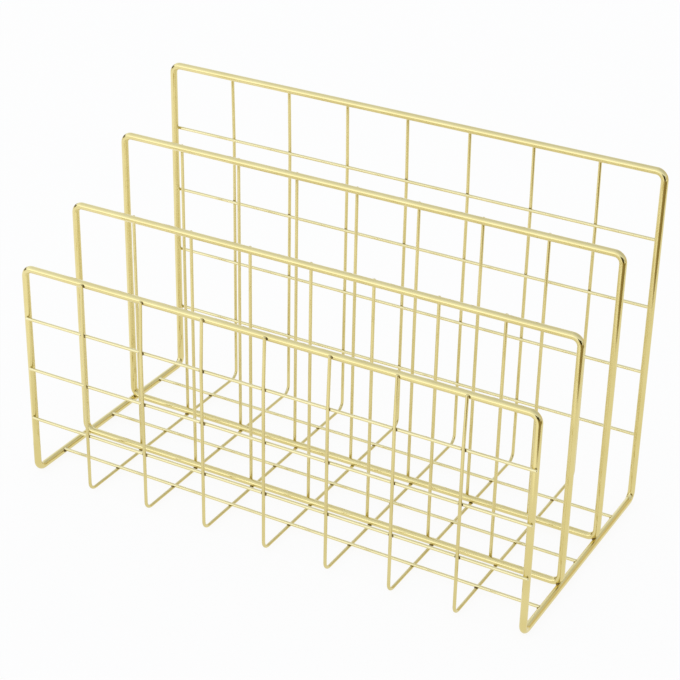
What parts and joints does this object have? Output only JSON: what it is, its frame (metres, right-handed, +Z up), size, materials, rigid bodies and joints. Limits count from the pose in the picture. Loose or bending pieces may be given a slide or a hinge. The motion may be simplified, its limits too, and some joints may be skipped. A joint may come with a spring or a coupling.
{
  "type": "letter holder",
  "caption": "Open desktop letter holder of welded gold-plated wire: stepped letter pockets between a wire-mesh front, divider frames and a taller mesh back.",
  "frame": {"origin": "on the table in the middle of the footprint, under the two side rails that it stands on", "axes": "+X to the right along the rails, -Y towards the low front, +Y towards the tall back, +Z up"},
  "size_m": [0.2534, 0.128, 0.1666],
  "materials": {
    "frame_wire": "bright, pale gold electroplate over steel wire, clear lacquered",
    "divider_wire": "bright, pale gold electroplate over steel wire, clear lacquered",
    "cross_wire": "bright, pale gold electroplate over steel wire, clear lacquered",
    "mesh_wire": "bright, pale gold electroplate over steel wire, clear lacquered"
  },
  "bodies": {
    "root": {"main_frame": "frame_wire", "front_divider_frame": "frame_wire", "front_divider_wire_1": "divider_wire", "front_divider_wire_2": "divider_wire", "front_divider_wire_3": "divider_wire", "front_divider_wire_4": "divider_wire", "front_divider_wire_5": "divider_wire", "front_divider_wire_6": "divider_wire", "front_divider_wire_7": "divider_wire", "rear_divider_frame": "frame_wire", "rear_divider_wire_1": "divider_wire", "rear_divider_wire_2": "divider_wire", "rear_divider_wire_3": "divider_wire", "rear_divider_wire_4": "divider_wire", "rear_divider_wire_5": "divider_wire", "rear_divider_wire_6": "divider_wire", "rear_divider_wire_7": "divider_wire", "front_cross_wire_1": "cross_wire", "floor_cross_wire_1": "cross_wire", "front_cross_wire_2": "cross_wire", "floor_cross_wire_2": "cross_wire", "front_cross_wire_3": "cross_wire", "floor_cross_wire_3": "cross_wire", "rear_cross_wire_1": "cross_wire", "rear_cross_wire_2": "cross_wire", "rear_cross_wire_3": "cross_wire", "rear_cross_wire_4": "cross_wire", "u_wire_1": "mesh_wire", "u_wire_2": "mesh_wire", "u_wire_3": "mesh_wire", "u_wire_4": "mesh_wire", "u_wire_5": "mesh_wire", "u_wire_6": "mesh_wire", "u_wire_7": "mesh_wire"}
  },
  "joints": []
}
